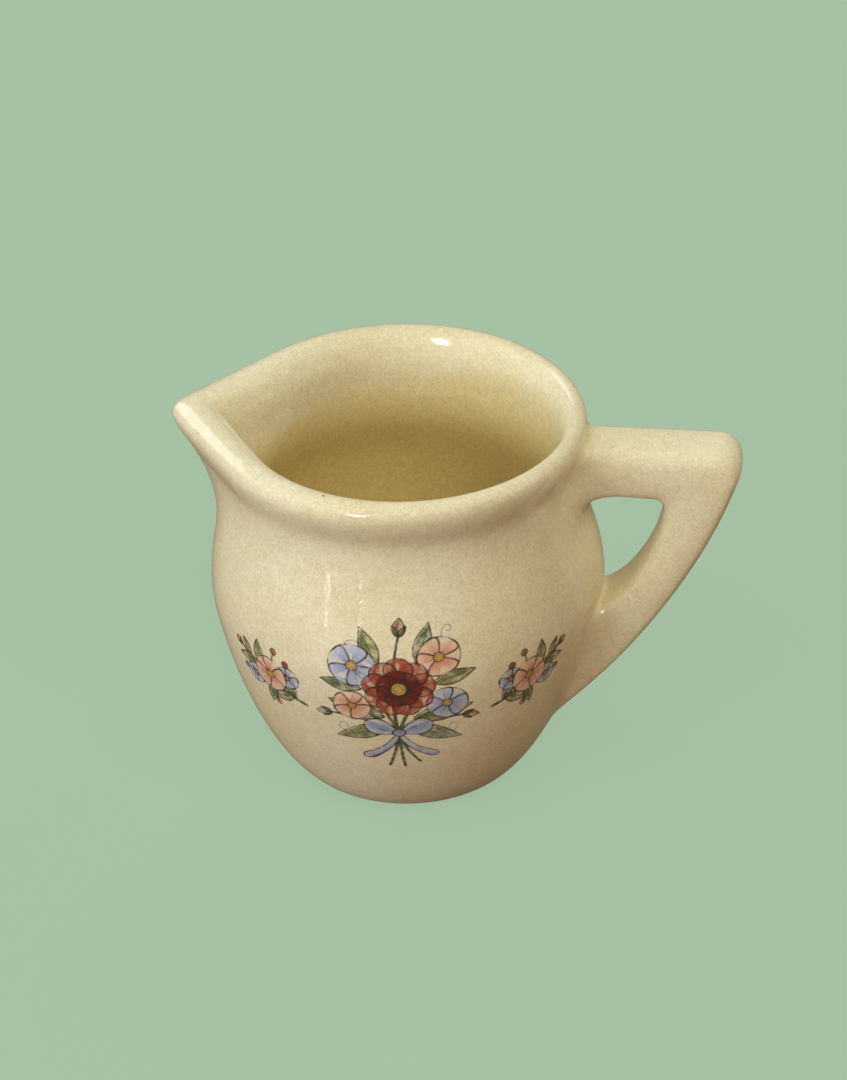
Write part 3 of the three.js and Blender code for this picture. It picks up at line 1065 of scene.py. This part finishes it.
def bud(sheet, root, angle, length, ink, shade):
    shape = (sheet, root, angle, length, length * pen["budWidth"], *pen["bud"])
    distance, _, across = petal(*shape, films["offRegister"])
    wash(sheet, distance, blend(ink, shade, ease(across, *pen["budShade"])))
    distance, along, across = petal(*shape)
    fold = np.abs(across - pen["budLean"] * (1 - along)) * length / 4
    draw(sheet, np.where(np.abs(across) < 1, fold, pen["far"]), pen["budFold"])
    draw(sheet, distance, films["line"])
    turn, long, wide = pen["sepals"]
    for side in (-turn, turn):
        leaf(sheet, root, angle + side, length * long, length * wide, "green")


posy = {
    "size": (28.0, 35.0),
    "scale": 1.18,  # millimetres to a unit of the layout below
    "tie": (0.0, -5.8),
    "stemEnds": ((-3.7, -11.4, 0.5), (-1.5, -13.0, 0.2), (0.6, -13.2, -0.1), (2.7, -12.2, -0.4)),
    "leaves": (
        (-1.8, -2.6, 163, 8.0, 3.0, "green"), (2.0, -2.9, 12, 8.2, 3.0, "olive"),
        (-1.2, -4.4, 203, 8.0, 2.7, "olive"), (1.3, -4.4, -24, 7.8, 2.7, "green"),
        (-2.6, 6.2, 112, 6.0, 2.4, "olive"), (2.8, 6.4, 76, 6.2, 2.4, "green"),
        (-4.8, 2.4, 172, 5.6, 2.1, "green"), (4.8, 3.4, 14, 5.8, 2.2, "olive"),
    ),
    "buds": (
        (0.3, 10.6, 86, 2.6, "brick", "maroon"), (-9.0, -2.9, 190, 2.2, "blue", "paleBlue"),
        (8.6, -3.2, -12, 2.2, "salmon", "brick"),
    ),
    "tendrils": (
        (-5.2, -5.4, 215, 6.0, -330), (5.0, -5.2, -40, 6.0, 330),
        (-4.4, 9.2, 150, 4.8, 300), (6.0, 10.2, 95, 3.6, -300),
    ),
    "tendrilWidths": (0.05, 0.02),
    "tendrilLine": 0.2,
    "flowers": (  # place, radius, turn, two inks, width of the petals, then the heart's radius and dots
        (-6.0, 6.0, 3.2, 18, "paleBlue", "blue", 1.0, 0.75, 6),
        (6.6, -0.4, 2.8, 50, "paleBlue", "blue", 1.0, 0.65, 6),
        (5.6, 7.4, 2.9, 0, "blush", "salmon", 1.05, 0.7, 6),
        (-6.2, -0.9, 2.6, 30, "blush", "salmon", 1.05, 0.6, 6),
    ),
    "double": (0.2, 2.6),
    "doubleRings": ((5.0, 9, 10, "brick", "maroon"), (3.1, 7, 0, "maroon", "line", 0.95)),
    "doubleHeart": (1.05, 9),
    "stemBow": 0.5,
    "budStem": (0.8, 0.3),  # bow and width
    "tails": ((-4.4, -10.9, 0.7), (4.6, -10.5, -0.7)),  # of the ribbon
    "tailWidths": (0.7, 1.3),
    "tailShade": (-7.0, -10.5),
    "loops": (158, 24),
    "loopSize": (5.0, 3.1),
    "loopShade": (0.75, 0.1),
    "crease": 0.14,
    "creasePlace": 0.2,
    "creaseScale": 1.2,
    "creaseSpan": (0.1, 0.55),
    "knot": (1.2, 0.72),
}


def posyInk(sheet):
    p = posy
    tie = p["tie"]
    for u, v, angle, length, curl in p["tendrils"]:
        line = stroke(sheet, curling((u, v), angle, length, curl), *p["tendrilWidths"])
        draw(sheet, line, p["tendrilLine"], "mist")
    for u, v, bow in p["stemEnds"]:
        stem(sheet, tie, (u, v), bow)
    for u, v, *_ in (p["double"], *p["flowers"]):
        stem(sheet, tie, (u, v), math.copysign(p["stemBow"], u))
    for u, v, angle, length, ink, shade in p["buds"]:
        bow, width = p["budStem"]
        stem(sheet, tie, (u, v), math.copysign(bow, u), width)
        bud(sheet, (u, v), angle, length, ink, shade)
    for u, v, *look in p["leaves"]:
        leaf(sheet, (u, v), *look)
    for row in p["flowers"]:
        flower(sheet, *row)
    for ring in p["doubleRings"]:
        ringOfPetals(sheet, p["double"], *ring)
    heart(sheet, p["double"], *p["doubleHeart"])

    # The ribbon: two tails, two loops and the knot
    for u, v, bow in p["tails"]:
        tail = stroke(sheet, arched(tie, (u, v), bow), *p["tailWidths"])
        wash(sheet, tail, blend("paleBlue", "blue", ease(sheet["v"], *p["tailShade"])))
        draw(sheet, tail, films["line"])
    for angle in p["loops"]:
        shape = (sheet, tie, angle, *p["loopSize"], *pen["petal"])
        distance, _, across = petal(*shape, films["offRegister"])
        wash(sheet, distance, blend("paleBlue", "blue", ease(np.abs(across), *p["loopShade"])))
        distance, along, across = petal(*shape)
        crease = np.abs(across - p["creasePlace"]) * p["creaseScale"]
        draw(sheet, onStretch(crease, along, p["creaseSpan"]), p["crease"])
        draw(sheet, distance, films["line"])
    wide, radius = p["knot"]
    knot = np.hypot((sheet["u"] - tie[0]) / wide, sheet["v"] - tie[1]) - radius
    wash(sheet, knot, inks["blue"])
    draw(sheet, knot, films["line"])


sprig = {
    "size": (18.0, 15.0),
    "scale": 1.2,
    "tilt": 24.0,  # degrees that it rises outwards
    "spacing": 0.4,  # from the posy, round the belly
    "root": (-6.6, -0.4),
    "tip": (5.5, 0.3),
    "bow": -0.5,
    "leaves": (
        (-5.0, -0.2, 40, 4.2, 1.9, "green"), (-4.6, -0.2, -46, 4.2, 1.9, "olive"),
        (1.6, 0.5, 62, 4.0, 1.8, "olive"), (2.0, 0.4, -30, 4.2, 1.8, "green"),
        (3.5, 0.5, 30, 2.7, 1.2, "green"), (-1.2, -1.4, -98, 3.6, 1.6, "green"),
    ),
    "berries": ((-1.9, 4.3), (0.4, 4.7), (-2.6, -3.9), (3.9, -2.9)),
    "berryRadius": 0.52,
    "berryRoot": (0.5, 0.4),  # share of its way along the sprig, and height
    "berryStem": (0.2, 0.24),
    "berryShade": (-0.2, 0.4),
    "berryLine": 0.2,
    "bud": (4, 1.6, "brick", "maroon"),
    "flowers": (
        (2.0, -2.3, 1.7, 10, "paleBlue", "blue", 1.0, 0.42, 5),
        (-2.9, 2.3, 1.8, 40, "paleBlue", "blue", 1.0, 0.42, 5),
        (-0.3, 0.4, 2.8, 22, "blush", "salmon", 1.05, 0.66, 6),
    ),
}


def sprigInk(sheet):
    share, height = sprig["berryRoot"]
    stem(sheet, sprig["root"], sprig["tip"], sprig["bow"])
    for u, v in sprig["berries"]:
        stem(sheet, (u * share, height), (u, v), *sprig["berryStem"])
        edge = reachFrom(sheet, u, v) - sprig["berryRadius"]
        wash(sheet, edge, blend("brick", "maroon", ease(sheet["u"] - u, *sprig["berryShade"])))
        draw(sheet, edge, sprig["berryLine"])
    for u, v, *look in sprig["leaves"]:
        leaf(sheet, (u, v), *look)
    bud(sheet, sprig["tip"], *sprig["bud"])
    for row in sprig["flowers"]:
        flower(sheet, *row)


def filmGrid(size, end):
    long, wide = (round(side / films["cell"]) for side in size)
    return np.meshgrid(np.linspace(-end, end, long + 1), np.linspace(-1, 1, wide + 1), indexing="ij")


# A square grid drawn in to an oval
def ovalGrid(size):
    s, t = filmGrid(size, 1)
    return size[0] / 2 * s * np.sqrt(1 - t**2 / 2), size[1] / 2 * t * np.sqrt(1 - s**2 / 2)


# A grid that narrows to blunt tips at both ends
def leafGrid(size):
    s, t = filmGrid(size, films["bluntTip"])
    return size[0] / 2 * s, size[1] / 2 * t * (1 - s**2)


belly = BVHTree.FromPolygons(surface[0].tolist(), surface[2].tolist())


# Points and normals of the belly under a flat film that is seen square on at a bearing
def castOnBelly(level, up, bearing):
    b = math.radians(films["bearing"] + bearing)
    right, ahead = Vector((math.cos(b), math.sin(b), 0)), Vector((-math.sin(b), math.cos(b), 0))
    at, normals, faces, _ = surface
    onWall, facing = [], []
    for x, z in zip(level, up):
        hit, _, face, _ = belly.ray_cast(right * x + Vector((0, 0, z)) - ahead * films["castFrom"], ahead)
        corners = faces[face]
        shares = np.array(poly_3d_calc([Vector(at[c]) for c in corners], hit))
        normal = shares @ normals[corners]
        onWall.append(hit)
        facing.append(normal / np.linalg.norm(normal))
    return np.array(onWall), np.array(facing)


# Prints a film, tilted and mirrored if need be, and lays it on the belly
def makeFilm(name, grid, scale, ink, bearing, tilt, mirrored):
    u, v = grid
    sheet = newSheet((-u if mirrored else u).reshape(-1) / scale, v.reshape(-1) / scale)
    ink(sheet)
    turned = math.radians(tilt)
    level = (u * math.cos(turned) - v * math.sin(turned)).reshape(-1) * mm
    up = (u * math.sin(turned) + v * math.cos(turned)).reshape(-1) * mm + films["height"] * mm
    onWall, facing = castOnBelly(level, up, bearing)
    rows, columns = u.shape
    fromEnd = np.minimum(np.arange(rows), np.arange(rows)[::-1])
    fromSide = np.minimum(np.arange(columns), np.arange(columns)[::-1])
    tuck = np.minimum(fromEnd[:, None], fromSide[None]).reshape(-1) / films["tuckedRows"]
    lift = films["lift"] * (2 * np.minimum(tuck, 1) - 1)
    points = np.vstack([onWall + facing * lift[:, None] * mm, onWall - facing * films["sink"] * mm])

    place = np.arange(rows * columns).reshape(rows, columns)
    quads = np.stack([place[:-1, :-1], place[1:, :-1], place[1:, 1:], place[:-1, 1:]], -1).reshape(-1, 4)
    under = quads[:, ::-1] + rows * columns
    rim = np.concatenate([place[:-1, 0], place[-1, :-1], place[:0:-1, -1], place[0, :0:-1]])
    after = np.roll(rim, -1)
    wall = np.stack([rim + rows * columns, after + rows * columns, after, rim], -1)
    allFaces = np.vstack([quads, under, wall])
    outwards = np.vstack([facing, -facing])[allFaces.reshape(-1)]
    outwards[-4 * len(wall):] = facing[(wall % (rows * columns)).reshape(-1)]
    piece = makePiece(name, points.tolist(), allFaces.tolist(), outwards.tolist())
    colours = np.zeros((len(points), 4), np.float32)
    colours[:, :3] = glaze["cream"][:3]
    colours[:len(onWall), :3] = sheet["colour"]
    colours[:len(onWall), 3] = sheet["cover"]
    piece.data.attributes.new("ink", "FLOAT_COLOR", "POINT").data.foreach_set("color", colours.reshape(-1))
    piece.data.materials.append(printGlaze)
    return piece


offset = posy["size"][0] / 2 + sprig["spacing"] + sprig["size"][0] / 2
aside = math.degrees(offset / vessel["bellyRadius"])
posyGrid, sprigGrid = ovalGrid(posy["size"]), leafGrid(sprig["size"])
sprigScale, tilt = sprig["scale"], sprig["tilt"]
posyFilm = makeFilm("posy_print_film", posyGrid, posy["scale"], posyInk, 0, 0, False)
spoutSprig = makeFilm("spout_side_sprig_film", sprigGrid, sprigScale, sprigInk, -aside, -tilt, True)
handleSprig = makeFilm("handle_side_sprig_film", sprigGrid, sprigScale, sprigInk, aside, tilt, False)
for piece, node, slot in (
    (posyFilm, "posy_transfer", "posy_print"),
    (spoutSprig, "spout_side_sprig_transfer", "sprig_print"),
    (handleSprig, "handle_side_sprig_transfer", "sprig_print"),
):
    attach(piece, "root")
    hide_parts(node)
print("printed: posy and two sprigs")


floor = {
    "size": 3.0,
    "seen": srgb(167, 193, 165),
    "evenness": 0.86,  # share of the seen colour that no lamp changes
    "mirrored": 0.25,  # share of the seen colour that the glaze mirrors
    "bounce": srgb(126, 82, 46),
    "gap": 0.02,  # millimetres under the foot
}


# Share of the background that a ray sees: all from the camera and through glass, some in the glaze
def cameraShare(tree):
    rays = addNode(tree, "LightPath")
    glossy = calculated(tree, "MULTIPLY", rays.outputs["Is Glossy Ray"], floor["mirrored"])
    share = calculated(tree, "MAXIMUM", rays.outputs["Is Camera Ray"], glossy)
    return calculated(tree, "MAXIMUM", share, rays.outputs["Is Transmission Ray"])


def mixShaders(tree, share, first, second):
    return addNode(tree, "MixShader", {0: share, 1: first.outputs[0], 2: second.outputs[0]})


def makeFloor():
    half = floor["size"] / 2
    corners = [(-half, -half, 0), (half, -half, 0), (half, half, 0), (-half, half, 0)]
    mesh = bpy.data.meshes.new("floor")
    mesh.from_pydata(corners, [], [(0, 1, 2, 3)])
    ground = bpy.data.objects.new("floor", mesh)
    ground.location.z = -floor["gap"] * mm
    bpy.context.scene.collection.objects.link(ground)
    material = bpy.data.materials.new("paleFloor")
    material.use_nodes = True
    tree = material.node_tree
    tree.nodes.clear()
    lit = addNode(tree, "BsdfDiffuse", {"Color": floor["seen"]})
    even = addNode(tree, "Emission", {"Color": floor["seen"]})
    bounce = addNode(tree, "BsdfDiffuse", {"Color": floor["bounce"]})
    seen = mixShaders(tree, floor["evenness"], lit, even)
    mix = mixShaders(tree, cameraShare(tree), bounce, seen)
    addNode(tree, "OutputMaterial", {0: mix.outputs[0]})
    mesh.materials.append(material)


makeFloor()

# Where the photograph was taken from, and its frame in pixels
camera = {
    "azimuth": 9.8,
    "elevation": 33.55,
    "roll": -1.54,
    "distance": 0.4138,
    "aim": (0.00321, 0.0398),  # along the picture's level line, and up
    "focalPixels": 2500.0,
    "framePixels": (847, 1080),
    "sensor": 36.0,
    "clipStart": 0.01,
}


# From the jug towards a bearing from the front and a height above the table, in degrees
def towards(azimuth, elevation):
    a, e = math.radians(azimuth), math.radians(elevation)
    return Vector((math.sin(a) * math.cos(e), -math.cos(a) * math.cos(e), math.sin(e)))


def makeCamera():
    c = camera
    a, roll = math.radians(c["azimuth"]), math.radians(c["roll"])
    back = towards(c["azimuth"], c["elevation"])
    right = Vector((math.cos(a), math.sin(a), 0))
    up = back.cross(right)
    tiltedRight = right * math.cos(roll) + up * math.sin(roll)
    tiltedUp = up * math.cos(roll) - right * math.sin(roll)
    aim = right * c["aim"][0] + Vector((0, 0, c["aim"][1]))
    data = bpy.data.cameras.new("camera")
    data.sensor_width = c["sensor"]
    data.lens = c["focalPixels"] * c["sensor"] / max(c["framePixels"])
    data.clip_start = c["clipStart"]
    eye = bpy.data.objects.new("camera", data)
    turn = Matrix((tiltedRight, tiltedUp, back)).transposed().to_4x4()
    eye.matrix_world = Matrix.Translation(aim + back * c["distance"]) @ turn
    bpy.context.scene.collection.objects.link(eye)
    bpy.context.scene.camera = eye


makeCamera()

# Soft lamps round the jug: bearing from the front, height above the table in degrees, watts, tint
lights = {
    "world": (1.0, 0.98, 0.95),
    "worldLevel": 0.01,
    "distance": 0.9,
    "aim": 0.035,
    "size": 0.4,
    "mirrored": ("behindLeft",),  # the rest give no shine
    "lamps": {
        "left": (-42, 17, 3.35, (0.94, 1.01, 1.08)),
        "leftHigh": (-42, 50, 1.3, (0.98, 1.0, 1.02)),
        "leftFar": (-70, 15, 1.3, (0.97, 1.0, 1.03)),
        "leftTop": (-80, 55, 0.7, (0.95, 1.0, 1.06)),
        "front": (15, 38, 1.9, (1.0, 0.99, 0.95)),
        "right": (50, 50, 2.6, (1.08, 0.96, 0.74)),
        "overhead": (0, 88, 0.7, (1, 1, 1)),
        "behindRight": (135, 25, 1.9, (1, 1, 1)),
        "behind": (180, 25, 1.9, (0.98, 1, 1.03)),
        "behindLeft": (-130, 28, 1.3, (0.98, 1, 1.03)),
    },
}

# Small bright windows that only the glaze mirrors: the point on the jug that they shine from, in
# millimetres, then bearing, height in degrees, distance and size in millimetres
glints = {
    "brightness": 22.0,
    "windows": {
        "window": ((0, 0, 45), -17.0, 33.0, 900, (140, 310)),
        "paneLeft": ((-7.1, -28.8, 48.5), -34.7, -12.0, 120, (1.3, 11.0)),
        "paneRight": ((-1.5, -29.6, 48.2), -14.9, -10.4, 120, (2.8, 3.2)),
    },
}


def makeLamp(name, aim, azimuth, elevation, distance, size, power, tint=(1, 1, 1)):
    data = bpy.data.lights.new(name, "AREA")
    data.shape = "RECTANGLE"
    data.size, data.size_y = size
    data.energy = power
    data.color = tint
    lamp = bpy.data.objects.new(name, data)
    way = towards(azimuth, elevation)
    lamp.location = Vector(aim) + way * distance
    lamp.rotation_euler = way.to_track_quat("Z", "Y").to_euler()
    lamp.visible_camera = False
    bpy.context.scene.collection.objects.link(lamp)
    return lamp


world = bpy.data.worlds.new("studio")
bpy.context.scene.world = world
world.use_nodes = True
tree = world.node_tree
sky = tree.nodes["Background"]
sky.inputs["Color"].default_value = (*lights["world"], 1)
sky.inputs["Strength"].default_value = lights["worldLevel"]
# Past the floor's edge the camera sees the floor's own colour
backdrop = addNode(tree, "Background", {"Color": floor["seen"], "Strength": floor["evenness"]})
mix = mixShaders(tree, cameraShare(tree), sky, backdrop)
tree.links.new(mix.outputs[0], tree.nodes["World Output"].inputs[0])
softSize, softAim = (lights["size"], lights["size"]), (0, 0, lights["aim"])
for name, (azimuth, elevation, power, tint) in lights["lamps"].items():
    lamp = makeLamp(name, softAim, azimuth, elevation, lights["distance"], softSize, power, tint)
    lamp.visible_glossy = name in lights["mirrored"]
for name, (start, azimuth, elevation, reach, size) in glints["windows"].items():
    size = [side * mm for side in size]
    power = glints["brightness"] * math.pi * size[0] * size[1]
    lamp = makeLamp(name, Vector(start) * mm, azimuth, elevation, reach * mm, size, power)
    lamp.visible_diffuse = False
print("lit:", len(lights["lamps"]), "soft lamps and", len(glints["windows"]), "small windows")
bpy.context.scene.view_settings.view_transform = "Standard"
